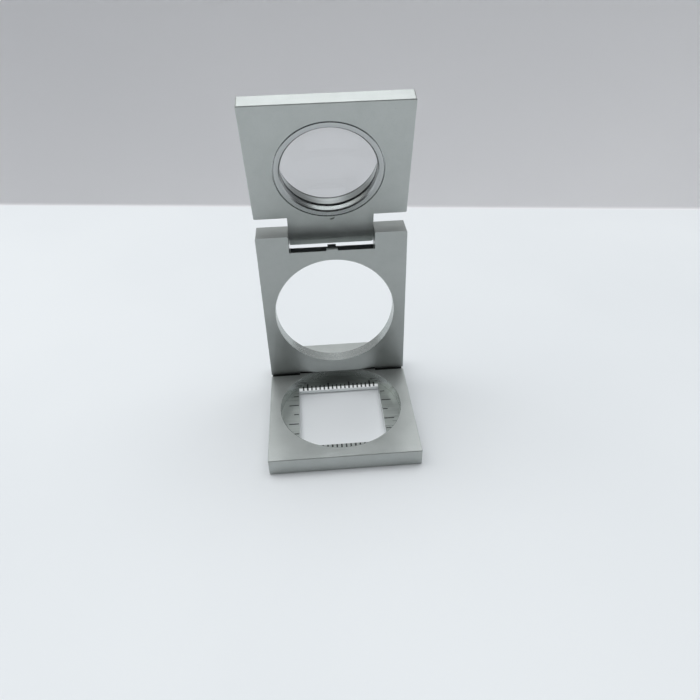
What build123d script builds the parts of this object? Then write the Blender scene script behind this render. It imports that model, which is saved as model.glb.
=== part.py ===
from build123d import *
import os

os.makedirs("parts", exist_ok=True)

# Folding thread counter: a flat base with a square aperture, an upright with a round window and a
# lens plate. Millimetres. X runs across the plates, +Y to the rear, +Z up. The origin is the centre
# of the base's underside.

# Plates
WIDTH = 32.0
BASE_LENGTH = 36.6
BASE_THICK = 3.8
WEB_THICK = 3.0
LENS_PLATE_THICK = 3.27
CORNER = 0.3
EDGE = 0.12

# Upright: its front face stands at FACE_Y, heights below are counted from the base's top
FACE_Y = 10.4
UPRIGHT_TOP = 36.0
FOOT_GAP = 0.06
FOOT_FLAT_HALF = 5.2
FOOT_RISE = 0.42
WINDOW_R = 13.45
WINDOW_Z = 16.75
SLOT_HALF = 9.15
SLOT_FLOOR = 32.3

# Base hinge: two stub pins in the upright's lower corners, turning in two knuckles of the base
BASE_AXIS_Y = FACE_Y + 1.85
BASE_AXIS_Z = BASE_THICK + 1.95
STUB_R = 0.6
STUB_BORE_R = 0.64
KNUCKLE_R = 1.1
KNUCKLE_INNER = 5.6
KNUCKLE_OUTER = 8.9
RAIL_FRONT = FACE_Y + 4.0
RAIL_HEIGHT = 2.5
RELIEF_R = 2.73
STEP_FRONT = FACE_Y - 0.7
STEP_DEPTH = 1.6

# Base window and scale plate
BASE_WINDOW_Y = FACE_Y - 12.45
BASE_WINDOW_R = 13.57
SCALE_DEPTH = 2.44
SCALE_SIDE = 28.4
SCALE_THICK = 1.22
SCALE_BEVEL = 0.55
SCALE_BEVEL_DROP = 0.4
APERTURE = 19.05
APERTURE_Y = FACE_Y - 13.0
INK = 0.03

# Lens hinge: one pin through the upright's ears and the lens plate's tongue
LENS_AXIS_Y = FACE_Y + 5.2
LENS_AXIS_Z = BASE_THICK + 34.4
LENS_PIN_R = 0.75
LENS_PIN_BORE_R = 0.79
EAR_R = 1.6
EAR_SIDE_R = 1.3
PIN_END = 15.9

# Lens plate, drawn upright about its pin and then leaned forward
LEAN_DEG = 17.6
SHOULDER = 5.65
LENS_PLATE_LENGTH = 25.6
TONGUE_HALF = 9.06
TONGUE_TAIL = 1.85
BORE_Z = SHOULDER + 11.03
BORE_R = 11.0
RING_R = 10.98
RING_INNER_R = 9.55
RING_GROOVE = 0.16
RING_BEVEL = 0.3
REAR_RIM = 2.9
LENS_R = 10.9
LENS_EDGE = 0.85
LENS_RADIUS = 70.0
LENS_Y = 0.545
SEAT = 0.64


def block(x0, x1, y0, y1, z0, z1):
    """A box between two corners."""
    size = Box(x1 - x0, y1 - y0, z1 - z0)
    return Pos((x0 + x1) / 2, (y0 + y1) / 2, (z0 + z1) / 2) * size


def rod_x(radius, x0, x1, y, z):
    """A cylinder along X."""
    rod = Rot(0, 90, 0) * Cylinder(radius, x1 - x0)
    return Pos((x0 + x1) / 2, y, z) * rod


def disc_y(radius, y0, y1, z):
    """A cylinder along Y, centred on x = 0."""
    disc = Rot(90, 0, 0) * Cylinder(radius, y1 - y0)
    return Pos(0, (y0 + y1) / 2, z) * disc


def profile_x(points, x0, x1):
    """A closed outline of (y, z) points, extruded along X."""
    outline = Plane.YZ * make_face(Polyline(*points, close=True))
    return Pos(x0, 0, 0) * extrude(outline, x1 - x0, dir=(1, 0, 0))


def both_sides(part):
    """The part and its mirror image in X."""
    return part + mirror(part, Plane.YZ)


def base_frame():
    front = -BASE_LENGTH / 2
    rear = BASE_LENGTH / 2
    plate = block(-WIDTH / 2, WIDTH / 2, front, rear, 0, BASE_THICK)
    plate = fillet(plate.edges().filter_by(Axis.Z), CORNER)
    plate = chamfer(plate.faces().sort_by(Axis.Z)[-1].edges(), EDGE)
    plate = chamfer(plate.faces().sort_by(Axis.Z)[0].edges(), EDGE)

    # Relief under the upright: round in the middle, a deep straight step under the two lower corners
    relief = rod_x(RELIEF_R, -SLOT_HALF - 0.1, SLOT_HALF + 0.1, BASE_AXIS_Y, BASE_AXIS_Z)
    plate -= relief
    step_floor = BASE_THICK - STEP_DEPTH
    step = block(SLOT_HALF, WIDTH / 2 + 1, STEP_FRONT, RAIL_FRONT, step_floor, BASE_THICK + 1)
    plate -= both_sides(step)

    # Hinge rail along the rear edge, with its two knuckles
    rail = block(-WIDTH / 2, WIDTH / 2, RAIL_FRONT, rear, 1.0, BASE_THICK + RAIL_HEIGHT)
    rail = fillet(rail.edges().filter_by(Axis.Z).sort_by(Axis.Y)[-2:], CORNER)
    rail = chamfer(rail.faces().sort_by(Axis.Z)[-1].edges(), EDGE)
    plate += rail
    arm_low = BASE_AXIS_Z - 0.9
    arm_high = BASE_AXIS_Z + 0.5
    arm = block(KNUCKLE_INNER, KNUCKLE_OUTER, BASE_AXIS_Y, RAIL_FRONT + 0.5, arm_low, arm_high)
    knuckle = arm + rod_x(KNUCKLE_R, KNUCKLE_INNER, KNUCKLE_OUTER, BASE_AXIS_Y, BASE_AXIS_Z)
    bore = rod_x(STUB_BORE_R, KNUCKLE_INNER - 1, KNUCKLE_OUTER + 1, BASE_AXIS_Y, BASE_AXIS_Z)
    plate += both_sides(knuckle - bore)

    # Round window from above, square pocket for the scale plate from below
    scale_top = BASE_THICK - SCALE_DEPTH
    window = Pos(0, BASE_WINDOW_Y, BASE_THICK) * Cylinder(BASE_WINDOW_R, 2 * SCALE_DEPTH)
    half = SCALE_SIDE / 2
    pocket = block(-half, half, BASE_WINDOW_Y - half, BASE_WINDOW_Y + half, -1, scale_top)
    pocket = fillet(pocket.edges().filter_by(Axis.Z), 1.0)
    return plate - window - pocket


def scale_plate():
    top = BASE_THICK - SCALE_DEPTH
    half = SCALE_SIDE / 2
    plate = block(-half, half, BASE_WINDOW_Y - half, BASE_WINDOW_Y + half, top - SCALE_THICK, top)
    plate = fillet(plate.edges().filter_by(Axis.Z), 1.0)
    side = APERTURE / 2
    plate -= block(-side, side, APERTURE_Y - side, APERTURE_Y + side, -1, top + 1)
    # the rear edge is bevelled, and its marks run down the bevel
    edge = APERTURE_Y + side
    wedge = [(edge - 1, top - SCALE_BEVEL_DROP), (edge, top - SCALE_BEVEL_DROP), (edge + SCALE_BEVEL, top), (edge - 1, top)]
    return plate - profile_x(wedge, -side, side)


def ink_layer():
    """A thin layer over the scale plate, from which the marks are cut."""
    plate = scale_plate()
    return Pos(0, 0, INK) * plate - plate


def tick(layer, x0, x1, y0, y1):
    return (layer & block(x0, x1, y0, y1, 0, BASE_THICK)).solid()


def metric_graduations():
    """Millimetre marks along the aperture's front and rear edges, every fifth one long."""
    side = APERTURE / 2
    layer = ink_layer()
    marks = []
    for i in range(18):
        x = i - 8.5
        long_mark = i % 5 == 1
        wide = 0.2 if long_mark else 0.17
        # the corners of the window are cut short by its round wall
        room = (BASE_WINDOW_R ** 2 - (abs(x) + wide) ** 2) ** 0.5 - 0.15
        for sign, short, long in ((-1, 1.5, 2.5), (1, 1.2, 2.0)):
            reach = long if long_mark else short
            start = APERTURE_Y + sign * (side + 0.05)
            end = start + sign * reach
            limit = BASE_WINDOW_Y + sign * room
            end = min(end, limit) if sign > 0 else max(end, limit)
            if abs(end - start) > 0.3 and (end - start) * sign > 0:
                low = min(start, end)
                high = max(start, end)
                marks.append(tick(layer, x - wide, x + wide, low, high))
    return Compound(label="metric_graduations", children=marks)


def inch_graduations():
    """Eighth-inch marks along the aperture's left and right edges, every second one long."""
    side = APERTURE / 2
    layer = ink_layer()
    marks = []
    for i in range(5):
        y = FACE_Y - 12.2 + (i - 2) * 3.175
        reach = 2.2 if i % 2 == 1 else 1.1
        for sign in (-1, 1):
            near = sign * (side + 0.15)
            far = near + sign * reach
            marks.append(tick(layer, min(near, far), max(near, far), y - 0.14, y + 0.14))
    return Compound(label="inch_graduations", children=marks)


def upright_frame():
    z0 = BASE_THICK
    rear = FACE_Y + WEB_THICK
    top = z0 + UPRIGHT_TOP
    foot = z0 + FOOT_GAP
    web = block(-WIDTH / 2, WIDTH / 2, FACE_Y, rear, foot, top)
    # the lower rear edge is rounded about the hinge, so that it swings clear of the rail
    low_edges = web.edges().filter_by(Axis.X).sort_by(Axis.Z)[:2].sort_by(Axis.Y)
    web = fillet(low_edges[1], 1.1)
    # between the flat middle and the two corners the lower edge rises a little
    rise = make_face(
        Polyline(
            (FOOT_FLAT_HALF, foot - 1),
            (FOOT_FLAT_HALF, foot),
            (SLOT_HALF, foot + FOOT_RISE),
            (SLOT_HALF, foot - 1),
            close=True,
        )
    )
    rise = Pos(0, rear + 1, 0) * extrude(Plane.XZ * rise, WEB_THICK + 2, dir=(0, -1, 0))
    web -= both_sides(rise)

    # Ears that hold the lens pin behind the web
    ear_top = top
    ear_rear = LENS_AXIS_Y + EAR_R
    outline = [
        (FACE_Y, z0 + 29.6),
        (FACE_Y, ear_top),
        (ear_rear, ear_top),
        (ear_rear, LENS_AXIS_Z - 0.8),
        (rear, z0 + 29.8),
        (rear, z0 + 29.6),
    ]
    ear = profile_x(outline, SLOT_HALF, WIDTH / 2)
    far_edge = [
        e
        for e in ear.edges().filter_by(Axis.X)
        if abs(e.center().Y - ear_rear) < 0.01 and abs(e.center().Z - ear_top) < 0.01
    ]
    ear = fillet(far_edge, EAR_R - 0.01)
    web += both_sides(ear)

    # Round window and the slot for the lens plate's tongue
    web -= disc_y(WINDOW_R, FACE_Y - 1, rear + 0.0001, z0 + WINDOW_Z)
    web -= block(-SLOT_HALF, SLOT_HALF, FACE_Y - 1, ear_rear + 1, z0 + SLOT_FLOOR, top + 1)

    # Outer corners softened: seen from the front, and behind the ears seen from above
    outline_block = block(-WIDTH / 2, WIDTH / 2, FACE_Y - 1, ear_rear + 1, z0 - 4, top)
    upper = [e for e in outline_block.edges().filter_by(Axis.Y) if e.center().Z > z0]
    web = web & fillet(upper, CORNER)
    depth_block = block(-WIDTH / 2, WIDTH / 2, FACE_Y - 1, ear_rear, z0 - 4, top + 1)
    behind = [e for e in depth_block.edges().filter_by(Axis.Z) if e.center().Y > ear_rear - 0.1]
    web = web & fillet(behind, EAR_SIDE_R)

    # Slot floor: seat of the leaf spring, a sloped rear edge and a small boss in front of the rivet
    floor = z0 + SLOT_FLOOR
    web -= block(-8.9, 8.9, FACE_Y + 0.15, FACE_Y + 2.25, floor - 0.25, floor + 1)
    slope = [(FACE_Y + 2.25, floor), (rear + 0.5, floor - 0.62), (rear + 0.5, floor + 1), (FACE_Y + 2.25, floor + 1)]
    web -= profile_x(slope, -SLOT_HALF, SLOT_HALF)
    web += block(-1.2, 1.2, FACE_Y, FACE_Y + 0.8, floor - 0.6, floor + 0.32)

    # Rear pockets for the base's knuckles, pin bores, and the rivet's hole
    pocket = block(
        KNUCKLE_INNER - 0.25,
        SLOT_HALF,
        BASE_AXIS_Y - 1.4,
        rear + 1,
        z0 - 1,
        BASE_AXIS_Z + 1.4,
    )
    web -= both_sides(pocket)
    web -= both_sides(rod_x(STUB_R, SLOT_HALF - 1, WIDTH / 2 + 1, BASE_AXIS_Y, BASE_AXIS_Z))
    web -= rod_x(LENS_PIN_R, -WIDTH, WIDTH, LENS_AXIS_Y, LENS_AXIS_Z)
    web -= Pos(0, FACE_Y + 1.7, floor) * Cylinder(0.45, 2.4)
    return web


def base_hinge_pins():
    """Two stub pins, pressed into the upright's lower corners from the sides."""
    pin = rod_x(STUB_R, KNUCKLE_INNER - 0.1, PIN_END, BASE_AXIS_Y, BASE_AXIS_Z)
    pin = chamfer(pin.edges().filter_by(GeomType.CIRCLE), 0.12)
    return Compound(label="base_hinge_pins", children=[pin, mirror(pin, Plane.YZ)])


def lens_hinge_pin():
    pin = rod_x(LENS_PIN_R, -PIN_END, PIN_END, LENS_AXIS_Y, LENS_AXIS_Z)
    return chamfer(pin.edges().filter_by(GeomType.CIRCLE), 0.15)


def upper_leaf_spring():
    floor = BASE_THICK + SLOT_FLOOR
    strip = block(-8.8, 8.8, FACE_Y + 0.2, FACE_Y + 2.2, floor - 0.25, floor + 0.03)
    strip -= block(-1.35, 1.35, FACE_Y, FACE_Y + 0.9, floor - 1, floor + 1)
    return strip - Pos(0, FACE_Y + 1.7, floor) * Cylinder(0.45, 2.4)


def spring_rivet():
    floor = BASE_THICK + SLOT_FLOOR
    head = block(-0.9, 0.9, FACE_Y + 0.95, FACE_Y + 2.7, floor + 0.03, floor + 0.32)
    head = chamfer(head.faces().sort_by(Axis.Z)[-1].edges(), 0.06)
    return head + Pos(0, FACE_Y + 1.7, floor - 0.5) * Cylinder(0.45, 1.2)


def leaned(part):
    """From the lens plate's own frame, with its pin at the origin, to its place on the upright."""
    return Pos(0, LENS_AXIS_Y, LENS_AXIS_Z) * Rot(LEAN_DEG, 0, 0) * part


def lens_frame():
    half = LENS_PLATE_THICK / 2
    plate = block(-WIDTH / 2, WIDTH / 2, -half, half, SHOULDER, SHOULDER + LENS_PLATE_LENGTH)
    plate = fillet(plate.edges().filter_by(Axis.Y), CORNER)
    plate = chamfer(plate.faces().sort_by(Axis.Y)[0].edges(), EDGE)
    plate = chamfer(plate.faces().sort_by(Axis.Y)[-1].edges(), EDGE)
    tongue = block(-TONGUE_HALF, TONGUE_HALF, -half, half, -TONGUE_TAIL, SHOULDER + 1)
    tail = [e for e in tongue.edges().filter_by(Axis.Y) if e.center().Z < 0]
    tongue = fillet(tail, 0.35)
    plate += tongue
    plate -= disc_y(BORE_R, -5, 5, BORE_Z)
    plate -= rod_x(LENS_PIN_BORE_R, -TONGUE_HALF - 1, TONGUE_HALF + 1, 0, 0)
    # small slanted nick under the lens
    nick = Rot(90, 0, 0) * extrude(SlotOverall(1.0, 0.42), 0.4, both=True)
    plate -= Pos(0.4, -half, SHOULDER - 0.57) * Rot(0, -25, 0) * nick
    return leaned(plate)


def front_bezel_ring():
    half = LENS_PLATE_THICK / 2
    ring = disc_y(RING_R, -half + 0.4, LENS_Y - SEAT, BORE_Z)
    ring += disc_y(RING_R - RING_GROOVE, -half, -half + 0.4, BORE_Z)
    ring -= disc_y(RING_INNER_R, -5, 5, BORE_Z)
    front = [e for e in ring.edges().filter_by(GeomType.CIRCLE) if abs(e.center().Y + half) < 0.01]
    inner, outer = sorted(front, key=lambda e: e.radius)
    ring = chamfer(outer, 0.1)
    front = [e for e in ring.edges().filter_by(GeomType.CIRCLE) if abs(e.center().Y + half) < 0.01]
    return leaned(chamfer(min(front, key=lambda e: e.radius), RING_BEVEL))


def rear_bezel_ring():
    half = LENS_PLATE_THICK / 2 + REAR_RIM
    ring = disc_y(RING_R, LENS_Y + SEAT, half, BORE_Z) - disc_y(RING_INNER_R, -6, 6, BORE_Z)
    back = [e for e in ring.edges().filter_by(GeomType.CIRCLE) if abs(e.center().Y - half) < 0.01]
    return leaned(chamfer(back, 0.16))


def magnifier_lens():
    """Double convex lens held at its edge between the two rings."""
    sag = LENS_RADIUS - (LENS_RADIUS ** 2 - LENS_R ** 2) ** 0.5
    crown = LENS_EDGE / 2 + sag
    disc = disc_y(LENS_R, LENS_Y - crown - 1, LENS_Y + crown + 1, BORE_Z)
    front = Pos(0, LENS_Y + LENS_RADIUS - crown, BORE_Z) * Sphere(LENS_RADIUS)
    back = Pos(0, LENS_Y + crown - LENS_RADIUS, BORE_Z) * Sphere(LENS_RADIUS)
    return leaned(disc & front & back)


PARTS = {
    "base_frame": base_frame,
    "scale_plate": scale_plate,
    "metric_graduations": metric_graduations,
    "inch_graduations": inch_graduations,
    "upright_frame": upright_frame,
    "base_hinge_pins": base_hinge_pins,
    "lens_hinge_pin": lens_hinge_pin,
    "upper_leaf_spring": upper_leaf_spring,
    "spring_rivet": spring_rivet,
    "lens_frame": lens_frame,
    "front_bezel_ring": front_bezel_ring,
    "magnifier_lens": magnifier_lens,
    "rear_bezel_ring": rear_bezel_ring,
}

for name, make in PARTS.items():
    export_step(make(), f"parts/{name}.step")
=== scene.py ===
import math

import bpy
from mathutils import Matrix, Vector


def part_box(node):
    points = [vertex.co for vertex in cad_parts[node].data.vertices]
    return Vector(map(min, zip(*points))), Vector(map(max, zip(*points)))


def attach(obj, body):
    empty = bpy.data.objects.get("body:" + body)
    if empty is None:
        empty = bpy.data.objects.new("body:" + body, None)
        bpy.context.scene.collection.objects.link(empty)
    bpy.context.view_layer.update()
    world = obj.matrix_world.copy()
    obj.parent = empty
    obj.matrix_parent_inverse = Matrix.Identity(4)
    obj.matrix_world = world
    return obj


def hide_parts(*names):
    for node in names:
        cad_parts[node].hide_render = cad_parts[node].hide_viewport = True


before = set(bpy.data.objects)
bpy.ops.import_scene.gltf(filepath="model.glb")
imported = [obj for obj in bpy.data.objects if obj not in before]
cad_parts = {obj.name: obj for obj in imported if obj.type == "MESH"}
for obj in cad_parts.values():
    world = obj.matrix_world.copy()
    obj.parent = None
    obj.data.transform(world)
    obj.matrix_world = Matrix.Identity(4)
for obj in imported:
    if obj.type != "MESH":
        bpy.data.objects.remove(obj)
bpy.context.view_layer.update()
scene = bpy.context.scene

# ---------------------------------------------------------------- places on the object, in metres
LEAN = math.radians(17.6)        # of the lens plate, forward from upright
glass_lo, glass_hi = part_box("magnifier_lens")
GLASS_R = (glass_hi.x - glass_lo.x) / 2
GLASS_MID = (glass_lo + glass_hi) / 2
scale_lo, scale_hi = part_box("scale_plate")
SCALE_MID = (scale_lo + scale_hi) / 2
upright_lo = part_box("upright_frame")[0]

BASE_WINDOW_R = 0.01357
UPRIGHT_WINDOW_R = 0.01345
UPRIGHT_WINDOW_UP = 0.01669      # the window's middle, above the upright's foot
LENS_BORE_R = 0.0110
RING_BORE_R = 0.00955
RING_BACK = 0.00399              # the rear ring's back lip, behind the middle of the glass

RECESS_AHEAD = 0.00074           # the base's hinge recess starts this far in front of the upright
RECESS_LONG = 0.0048             # its length from front to rear
RECESS_HALF = 0.01593            # half its width
RECESS_FLOOR = (0.0005, 0.0008)  # the painted shade in it fades in between these heights
RECESS_TOP = (0.0036, 0.0037)    # and out again between these

LENS_HALF_EDGE = 0.000425        # half the glass's thickness at its rim
LENS_CURVE = 0.070               # radius of both its faces


# ---------------------------------------------------------------- node helpers
class Nodes:
    """Short ways to add and join nodes in one node tree."""

    def __init__(self, nt):
        self.nt = nt
        self.nt.nodes.clear()

    def node(self, kind, **settings):
        n = self.nt.nodes.new("ShaderNode" + kind)
        for key, value in settings.items():
            setattr(n, key, value)
        return n

    def feed(self, socket, value):
        if isinstance(value, bpy.types.NodeSocket):
            self.nt.links.new(value, socket)
        else:
            socket.default_value = value

    def math(self, op, a, b=0.0, c=0.0):
        n = self.node("Math", operation=op)
        for socket, value in zip(n.inputs, (a, b, c)):
            self.feed(socket, value)
        return n.outputs[0]

    def span(self, fac, low, high, to_low, to_high):
        n = self.node("MapRange")
        for socket, value in zip(n.inputs, (fac, low, high, to_low, to_high)):
            self.feed(socket, value)
        return n.outputs[0]

    def mix(self, fac, a, b, kind="MIX"):
        n = self.node("Mix", data_type="RGBA", blend_type=kind)
        self.feed(n.inputs[0], fac)
        self.feed(n.inputs[6], (*a, 1) if isinstance(a, tuple) else a)
        self.feed(n.inputs[7], (*b, 1) if isinstance(b, tuple) else b)
        return n.outputs[2]

    def split(self, vector):
        """The x, y and z of a vector."""
        n = self.node("SeparateXYZ")
        self.feed(n.inputs[0], vector)
        return n.outputs

    def vector(self, x, y, z):
        n = self.node("CombineXYZ")
        for socket, value in zip(n.inputs, (x, y, z)):
            self.feed(socket, value)
        return n.outputs[0]

    def grey(self, value):
        return self.vector(value, value, value)


class Tree(Nodes):
    """A material's nodes, round one Principled shader."""

    def __init__(self, name):
        self.mat = bpy.data.materials.new(name)
        self.mat.use_nodes = True
        super().__init__(self.mat.node_tree)
        out = self.node("OutputMaterial")
        self.bsdf = self.node("BsdfPrincipled")
        self.feed(out.inputs["Surface"], self.bsdf.outputs[0])
        self.coord = self.node("TexCoord").outputs["Object"]

    def set(self, name, value):
        """Give the shader's socket of that name a value or a link."""
        self.feed(self.bsdf.inputs[name], value)

    def noise(self, scale, detail=2.0, rough=0.5, coord=None, stretch=None):
        coord = coord or self.coord
        if stretch:
            m = self.node("Mapping")
            self.feed(m.inputs["Vector"], coord)
            m.inputs["Scale"].default_value = stretch
            coord = m.outputs[0]
        n = self.node("TexNoise")
        self.feed(n.inputs["Vector"], coord)
        for key, value in (("Scale", scale), ("Detail", detail), ("Roughness", rough)):
            n.inputs[key].default_value = value
        return n.outputs["Fac"]

    def spread(self, noise, low, high):
        """A noise's middle range, stretched from low to high."""
        return self.span(noise, 0.3, 0.7, low, high)

    def bump(self, *layers):
        """Layers of (height, distance in metres, strength) from coarse to fine."""
        normal = None
        for height, distance, strength in layers:
            n = self.node("Bump")
            n.inputs["Distance"].default_value = distance
            n.inputs["Strength"].default_value = strength
            self.feed(n.inputs["Height"], height)
            if normal is not None:
                self.feed(n.inputs["Normal"], normal)
            normal = n.outputs[0]
        self.set("Normal", normal)

    def edges(self, radius):
        """White along outside and inside edges within that radius."""
        bevel = self.node("Bevel", samples=6)
        bevel.inputs["Radius"].default_value = radius
        dot = self.node("VectorMath", operation="DOT_PRODUCT")
        self.feed(dot.inputs[0], bevel.outputs[0])
        self.feed(dot.inputs[1], self.node("NewGeometry").outputs["Normal"])
        return self.span(self.math("SUBTRACT", 1.0, dot.outputs["Value"]), 0.02, 0.35, 0.0, 1.0)

    def radius(self, centre, tip):
        """Distance from an axis, and place along it. The axis runs along Y, tipped by that angle about X."""
        m = self.node("Mapping", vector_type="TEXTURE")
        self.feed(m.inputs["Vector"], self.coord)
        m.inputs["Location"].default_value = centre
        m.inputs["Rotation"].default_value = (tip, 0, 0)
        x, y, z = self.split(m.outputs[0])
        length = self.node("VectorMath", operation="LENGTH")
        self.feed(length.inputs[0], self.vector(x, z, 0.0))
        return length.outputs["Value"], y


# ---------------------------------------------------------------- materials
def painted_recess_shade(t, out, bore, recess_y):
    """A mask of the painted shade in the base's hinge recess, which starts at recess_y. It leaves out the
    round window.
    """
    x, y, z = t.split(t.coord)
    behind = t.math("COMPARE", y, recess_y + RECESS_LONG / 2, RECESS_LONG / 2)
    inside = t.math("LESS_THAN", t.math("ABSOLUTE", x), RECESS_HALF)
    above = t.span(z, *RECESS_FLOOR, 0.0, 1.0)
    below = t.span(z, *RECESS_TOP, 1.0, 0.0)
    aside = t.span(out, bore + 0.0001, bore + 0.00016, 0.0, 1.0)
    plan = t.math("MULTIPLY", t.math("MULTIPLY", behind, inside), aside)
    return t.math("MULTIPLY", plan, t.math("MULTIPLY", below, above))


def satin_alloy(name, centre, tip, bore, shade=1.0, recess_y=None):
    """Blasted and plated alloy: fine pits, a cloudy tone, edges rubbed bright. The wall of its round
    hole is turned, so it is smoother and carries lines round the hole. In the hinge recess from
    recess_y back the metal is painted very dark as painted shade."""
    t = Tree(name)
    t.set("Metallic", 0.78)
    out, along = t.radius(centre, tip)
    turned = t.math("COMPARE", out, bore, 0.00007)
    cloud = t.noise(240, 4, 0.55)
    blot = t.noise(900, 3, 0.6)
    grit = t.noise(5200, 2, 0.6)
    lines = t.noise(5200, 3, 0.7, coord=t.vector(along, out, 0.0))
    tone = t.mix(t.spread(cloud, 0, 1), (0.445, 0.470, 0.456), (0.489, 0.513, 0.50))
    tone = t.mix(t.span(blot, 0.42, 0.72, 0, 0.3), tone, (0.50, 0.522, 0.51))
    tone = t.mix(t.span(grit, 0.58, 0.80, 0, 0.5), tone, (0.35, 0.372, 0.36))
    wall_tone = t.mix(t.spread(lines, 0, 1), (0.42, 0.45, 0.435), (0.60, 0.63, 0.615))
    tone = t.mix(turned, tone, wall_tone)
    worn = t.math("MULTIPLY", t.edges(0.00016), t.span(t.noise(700, 3, 0.6), 0.42, 0.62, 0.1, 1.0))
    tone = t.mix(t.math("MULTIPLY", worn, 0.4), tone, (0.68, 0.70, 0.69))
    # painted shade: the factor darkens the whole copy; the upright's copy is a tenth darker
    tone = t.mix(1.0, tone, (shade, shade, shade), "MULTIPLY")
    if recess_y is not None:
        # painted shade: the hinge recess is painted very dark where shade falls
        tone = t.mix(painted_recess_shade(t, out, bore, recess_y), tone, (0.012, 0.013, 0.012))
    t.set("Base Color", tone)
    rough = t.math("ADD", t.spread(cloud, 0.31, 0.37), t.span(grit, 0.4, 0.8, -0.02, 0.05))
    rough = t.math("SUBTRACT", rough, t.math("MULTIPLY", turned, 0.1))
    t.set("Roughness", t.math("SUBTRACT", rough, t.math("MULTIPLY", worn, 0.1)))
    rest = t.math("SUBTRACT", 1.0, turned)
    t.bump(
        (t.math("MULTIPLY", blot, rest), 0.000035, 0.35),
        (t.math("MULTIPLY", grit, rest), 0.00002, 0.45),
        (t.math("MULTIPLY", lines, turned), 0.00001, 0.3),
    )
    return t.mat


def scale_metal():
    """The scale plate: finer satin with faint straight grinding lines."""
    t = Tree("scale_metal")
    t.set("Metallic", 0.9)
    lines = t.noise(1400, 3, 0.65, stretch=(0.06, 1.0, 1.0))
    cloud = t.noise(300, 3, 0.5)
    tone = t.mix(t.spread(lines, 0, 1), (0.38, 0.41, 0.392), (0.48, 0.51, 0.492))
    tone = t.mix(t.span(cloud, 0.35, 0.7, 0, 0.3), tone, (0.36, 0.39, 0.37))
    # the bevel, the aperture's walls and the underside are bare and bright
    facing_up = t.split(t.node("NewGeometry").outputs["True Normal"])[2]
    bare = t.span(facing_up, 0.90, 0.95, 1.0, 0.0)
    t.set("Base Color", t.mix(bare, tone, (0.88, 0.90, 0.895)))
    t.set("Roughness", t.spread(lines, 0.26, 0.36))
    t.bump((lines, 0.000012, 0.4), (t.noise(6000, 2, 0.5), 0.00001, 0.3))
    return t.mat


def black_ink():
    """Printed marks, thin in places."""
    t = Tree("black_ink")
    t.set("Metallic", 0.0)
    ink = t.noise(4200, 3, 0.6)
    thin = t.span(ink, 0.52, 0.75, 0, 0.7)
    t.set("Base Color", t.mix(thin, (0.018, 0.020, 0.021), (0.10, 0.107, 0.105)))
    t.set("Roughness", t.spread(ink, 0.50, 0.66))
    t.bump((ink, 0.000008, 0.5))
    return t.mat


def pin_steel():
    """Ground steel pins: rings round the shaft, lightly peened ends."""
    t = Tree("pin_steel")
    t.set("Metallic", 1.0)
    rings = t.noise(5200, 3, 0.6, stretch=(1.0, 0.04, 0.04))
    dents = t.noise(2600, 2, 0.5)
    t.set("Base Color", t.mix(t.spread(rings, 0, 1), (0.40, 0.41, 0.415), (0.60, 0.61, 0.615)))
    t.set("Roughness", t.spread(rings, 0.26, 0.38))
    t.bump((dents, 0.00003, 0.35), (rings, 0.00001, 0.4))
    return t.mat


def spring_steel():
    """Blackened spring strip and rivet, rubbed a little at the edges."""
    t = Tree("spring_steel")
    t.set("Metallic", 0.35)
    haze = t.noise(1500, 3, 0.6)
    worn = t.math("MULTIPLY", t.edges(0.00012), t.span(t.noise(1800, 2, 0.5), 0.45, 0.62, 0.0, 0.8))
    tone = t.mix(t.span(haze, 0.35, 0.7, 0, 1), (0.017, 0.019, 0.020), (0.036, 0.039, 0.040))
    t.set("Base Color", t.mix(worn, tone, (0.20, 0.205, 0.21)))
    t.set("Roughness", t.spread(haze, 0.42, 0.60))
    t.bump((t.noise(5200, 2, 0.5), 0.00001, 0.5))
    return t.mat


def polished_ring():
    """Turned rings: fine concentric lines on a bright polish."""
    t = Tree("polished_ring")
    t.set("Metallic", 1.0)
    out, along = t.radius(GLASS_MID, LEAN)
    across = t.vector(out, along, 0.0)
    turning = t.noise(9000, 3, 0.7, coord=across)
    coarse = t.noise(1500, 2, 0.5, coord=across)
    smear = t.noise(260, 3, 0.5)
    tone = t.mix(t.span(turning, 0.35, 0.65, 0, 1), (0.41, 0.425, 0.425), (0.50, 0.515, 0.515))
    tone = t.mix(t.span(smear, 0.4, 0.7, 0, 0.3), tone, (0.46, 0.48, 0.475))
    # inside, the rings are darkened; beside the glass and at the back lip they are painted very dark as
    # painted shadow, for the shaded gap and the shaded back edge
    bore = t.span(out, RING_BORE_R + 0.00002, RING_BORE_R + 0.00008, 1.0, 0.0)
    tone = t.mix(bore, tone, (0.27, 0.285, 0.28))
    beside_glass = t.span(t.math("ABSOLUTE", along), 0.0007, 0.0008, 1.0, 0.0)
    far_back = t.span(along, RING_BACK - 0.0007, RING_BACK - 0.0006, 0.0, 1.0)
    innermost = t.span(out, RING_BORE_R + 0.0003, RING_BORE_R + 0.0004, 1.0, 0.0)
    back_lip = t.math("MULTIPLY", far_back, innermost)
    # painted shadow: very dark beside the glass and at the back lip
    painted_shadow = t.math("MAXIMUM", t.math("MULTIPLY", bore, beside_glass), back_lip)
    t.set("Base Color", t.mix(painted_shadow, tone, (0.012, 0.013, 0.013)))
    t.set("Roughness", t.math("ADD", t.spread(coarse, 0.20, 0.28), t.math("MULTIPLY", bore, 0.06)))
    t.bump((coarse, 0.00001, 0.3), (turning, 0.000004, 0.35))
    return t.mat


def lens_glass():
    """Clear crown glass with the faintest dust film."""
    t = Tree("lens_glass")
    t.set("Base Color", (0.965, 0.975, 0.98, 1))
    t.set("Metallic", 0.0)
    t.set("Transmission Weight", 1.0)
    t.set("IOR", 1.52)
    t.set("Roughness", t.span(t.noise(220, 4, 0.6), 0.62, 0.9, 0.0, 0.03))
    return t.mat


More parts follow.
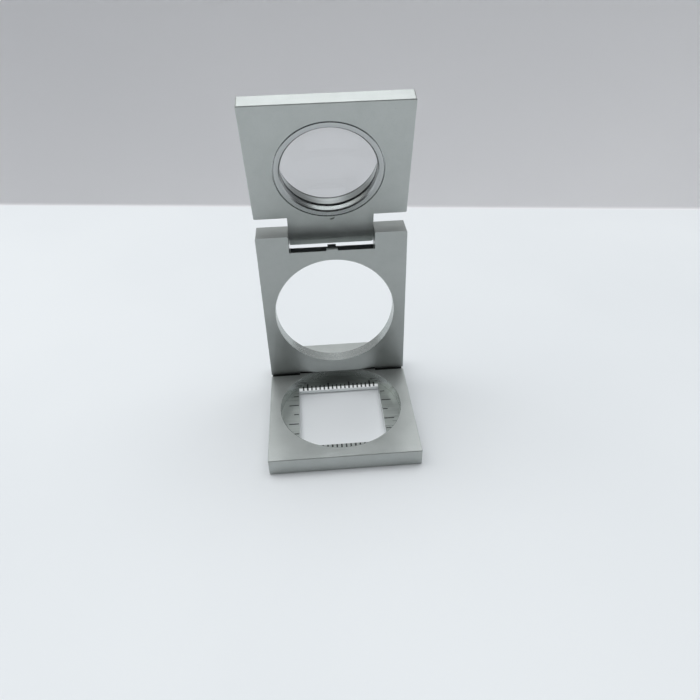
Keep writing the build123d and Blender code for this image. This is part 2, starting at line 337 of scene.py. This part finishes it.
def paper_floor():
    """White card under the object, with a hardly visible tooth."""
    t = Tree("paper_floor")
    t.set("Roughness", 0.75)
    t.set("Specular IOR Level", 0.25)
    wide = t.noise(9, 3, 0.5)
    tooth = t.noise(1800, 3, 0.6)
    t.set("Base Color", t.mix(t.span(wide, 0.35, 0.65, 0, 1), (0.765, 0.787, 0.805), (0.80, 0.82, 0.835)))
    t.bump((tooth, 0.00004, 0.25))
    return t.mat


def card_wall():
    """Pale grey card behind, with a painted glow."""
    t = Tree("card_wall")
    t.set("Roughness", 0.8)
    t.set("Specular IOR Level", 0.2)
    wide = t.noise(7, 3, 0.5)
    t.set("Base Color", t.mix(t.span(wide, 0.35, 0.65, 0, 1), (0.60, 0.60, 0.622), (0.64, 0.638, 0.655)))
    # painted light: it glows as if lit from behind, most of all low down and on the right
    x, _, z = t.split(t.coord)
    painted_glow = t.math("MULTIPLY", t.span(z, 0.0, 0.09, 1.0, 0.62), t.span(x, -0.10, 0.10, 0.85, 1.15))
    t.set("Emission Color", t.mix(1.0, (0.985, 0.985, 1.0), t.grey(painted_glow), "MULTIPLY"))
    t.set("Emission Strength", 0.23)
    t.bump((t.noise(1500, 3, 0.6), 0.00004, 0.2))
    return t.mat


# the axis of the base's window is upright, so it is tipped a quarter turn from the other two
upright_window = Vector((0, upright_lo.y, upright_lo.z + UPRIGHT_WINDOW_UP))
alloys = {
    "base_frame": satin_alloy(
        "satin_alloy_base", SCALE_MID, math.radians(90), BASE_WINDOW_R, recess_y=upright_lo.y - RECESS_AHEAD
    ),
    # the upright's copy carries painted shade, a tenth darker than the others
    "upright_frame": satin_alloy("satin_alloy_upright", upright_window, 0.0, UPRIGHT_WINDOW_R, shade=0.90),
    "lens_frame": satin_alloy("satin_alloy_lens", GLASS_MID, LEAN, LENS_BORE_R),
}
finishes = {
    "scale_metal": scale_metal(),
    "black_ink": black_ink(),
    "pin_steel": pin_steel(),
    "spring_steel": spring_steel(),
    "polished_ring": polished_ring(),
    "lens_glass": lens_glass(),
}
for name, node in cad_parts.items():
    for s in node.material_slots:
        s.material = alloys.get(name) or finishes[s.material.name.split(".")[0]]


# ---------------------------------------------------------------- the lens, divided finely
def make_lens(name, rim, half_edge, curve, rings=40, around=160):
    """A double convex lens about its own Y axis: two spherical faces and a ground rim."""
    middle = half_edge + curve - math.sqrt(curve ** 2 - rim ** 2)

    def circle(radius, y):
        angles = (2 * math.pi * k / around for k in range(around))
        return [(radius * math.cos(a), y, radius * math.sin(a)) for a in angles]

    points, faces = [], []
    for sign in (-1, 1):
        first = len(points)
        points.append((0, sign * middle, 0))
        for i in range(1, rings + 1):
            r = rim * i / rings
            points.extend(circle(r, sign * (middle - (curve - math.sqrt(curve ** 2 - r ** 2)))))
        for k in range(around):
            n = (k + 1) % around
            faces.append((first, first + 1 + k, first + 1 + n)[:: -sign])
            for i in range(rings - 1):
                a = first + 1 + i * around
                b = a + around
                faces.append((a + k, b + k, b + n, a + n)[:: -sign])
    front = 1 + (rings - 1) * around
    back = front + 1 + rings * around
    for k in range(around):
        n = (k + 1) % around
        faces.append((front + k, back + k, back + n, front + n))
    mesh = bpy.data.meshes.new(name)
    mesh.from_pydata(points, [], faces)
    mesh.validate()
    lens = bpy.data.objects.new(name, mesh)
    scene.collection.objects.link(lens)
    for p in mesh.polygons:
        p.use_smooth = True
    # the corners between the faces and the rim stay sharp
    for e in mesh.edges:
        a, b = (mesh.vertices[i].co for i in e.vertices)
        at_rim = min(a.xz.length, b.xz.length) > rim * 0.999
        at_corner = max(abs(a.y), abs(b.y)) < half_edge * 1.01
        if at_rim and at_corner and abs(a.y - b.y) < 1e-9:
            e.use_edge_sharp = True
    return lens


lens = make_lens("ground_lens", GLASS_R, LENS_HALF_EDGE, LENS_CURVE)
lens.matrix_world = Matrix.Translation(GLASS_MID) @ Matrix.Rotation(LEAN, 4, "X")
lens.data.materials.append(finishes["lens_glass"])
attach(lens, "lens_plate")
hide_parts("magnifier_lens")

# ---------------------------------------------------------------- stage
CARD_HALF = 2.5                  # half the width of both cards
WALL_Y = 0.1216
WALL_TURN = math.radians(-8.36)
WALL_HEIGHT = 0.15
WALL_LIFT = 0.0001               # keeps the wall's lower edge off the floor
COVE = 0.0012                    # radius of the bend at the wall's foot


def sheet_profile(name, outline, half_width, material):
    """A smooth sheet that follows an outline of (y, z) points, across X."""
    mesh = bpy.data.meshes.new(name)
    points = [(x, y, z) for y, z in outline for x in (-half_width, half_width)]
    faces = [(2 * i, 2 * i + 1, 2 * i + 3, 2 * i + 2) for i in range(len(outline) - 1)]
    mesh.from_pydata(points, [], faces)
    obj = bpy.data.objects.new(name, mesh)
    scene.collection.objects.link(obj)
    for p in mesh.polygons:
        p.use_smooth = True
    mesh.materials.append(material)
    return obj


sheet_profile("floor_card", [(-CARD_HALF, 0.0), (CARD_HALF, 0.0)], CARD_HALF, paper_floor())
angles = [math.radians(9 * i) for i in range(11)]
bend = [(-COVE + COVE * math.sin(a), WALL_LIFT + COVE - COVE * math.cos(a)) for a in angles]
wall = sheet_profile("wall_card", bend + [(0.0, WALL_HEIGHT)], CARD_HALF, card_wall())
wall.location = (0, WALL_Y, 0)
wall.rotation_euler = (0, 0, WALL_TURN)
# only the camera and the glass see the wall, so it doesn't keep the room's light off the object
wall.visible_diffuse = False
wall.visible_glossy = False
wall.visible_shadow = False

# a bright white room, brightest high up behind the wall and dimmest on the camera's side
ROOM_HEIGHT = [(-0.1, 0.10), (0.36, 0.11), (0.66, 0.13), (0.77, 0.45), (0.85, 0.95), (0.93, 1.0), (1.0, 0.85)]
ROOM_DEPTH = [(-0.6, 0.14), (-0.1, 0.35), (0.15, 0.80), (0.40, 1.0)]
ROOM_TINT = (0.975, 1.0, 1.02)
ROOM_STRENGTH = 3.65

world = bpy.data.worlds.new("soft_room")
scene.world = world
world.use_nodes = True
room = Nodes(world.node_tree)


def room_ramp(value, stops):
    """Brightness along one axis of the room, with stops from -1 to 1."""
    ramp = room.node("ValToRGB")
    ramp.color_ramp.interpolation = "EASE"
    while len(ramp.color_ramp.elements) < len(stops):
        ramp.color_ramp.elements.new(0.5)
    for element, (at, level) in zip(ramp.color_ramp.elements, stops):
        element.position = (at + 1) / 2
        element.color = (level, level, level, 1)
    room.feed(ramp.inputs[0], room.span(value, -1, 1, 0.0, 1.0))
    return ramp.outputs[0]


world_out = room.node("OutputWorld")
background = room.node("Background")
direction = room.split(room.node("TexCoord").outputs["Generated"])
high_low = room_ramp(direction[2], ROOM_HEIGHT)
near_far = room_ramp(direction[1], ROOM_DEPTH)
room_light = room.mix(1.0, high_low, near_far, "MULTIPLY")
room.feed(background.inputs["Color"], room.mix(1.0, room_light, ROOM_TINT, "MULTIPLY"))
background.inputs["Strength"].default_value = ROOM_STRENGTH
room.feed(world_out.inputs[0], background.outputs[0])


def softbox(name, place, target, size, power, colour):
    data = bpy.data.lights.new(name, "AREA")
    data.shape = "RECTANGLE"
    data.size, data.size_y = size
    data.energy = power
    data.color = colour
    obj = bpy.data.objects.new(name, data)
    scene.collection.objects.link(obj)
    obj.location = place
    obj.rotation_euler = (Vector(target) - Vector(place)).to_track_quat("-Z", "Y").to_euler()


softbox("left_softbox", (-0.55, 0.22, 0.45), (0, 0, 0.02), (0.5, 0.5), 0.8, (1.0, 0.99, 0.975))


# ---------------------------------------------------------------- camera
def turn_about(axis, degrees):
    return Matrix.Rotation(math.radians(degrees), 3, axis)


CAMERA_PLACE = Vector((-0.00356, -0.10565, 0.09422))
CAMERA_TURN = turn_about("Z", -3.32) @ turn_about("X", -35.98) @ turn_about("Y", 1.65)

camera_data = bpy.data.cameras.new("camera")
camera = bpy.data.objects.new("camera", camera_data)
scene.collection.objects.link(camera)
camera_data.sensor_width = 36.0
camera_data.lens = 30.99
camera_data.clip_start = 0.005
camera_data.clip_end = 20.0
right, ahead, top = CAMERA_TURN.col
pose = Matrix((right, top, -ahead)).transposed().to_4x4()
pose.translation = CAMERA_PLACE
camera.matrix_world = pose
scene.camera = camera
scene.view_settings.view_transform = "Standard"
scene.view_settings.look = "None"
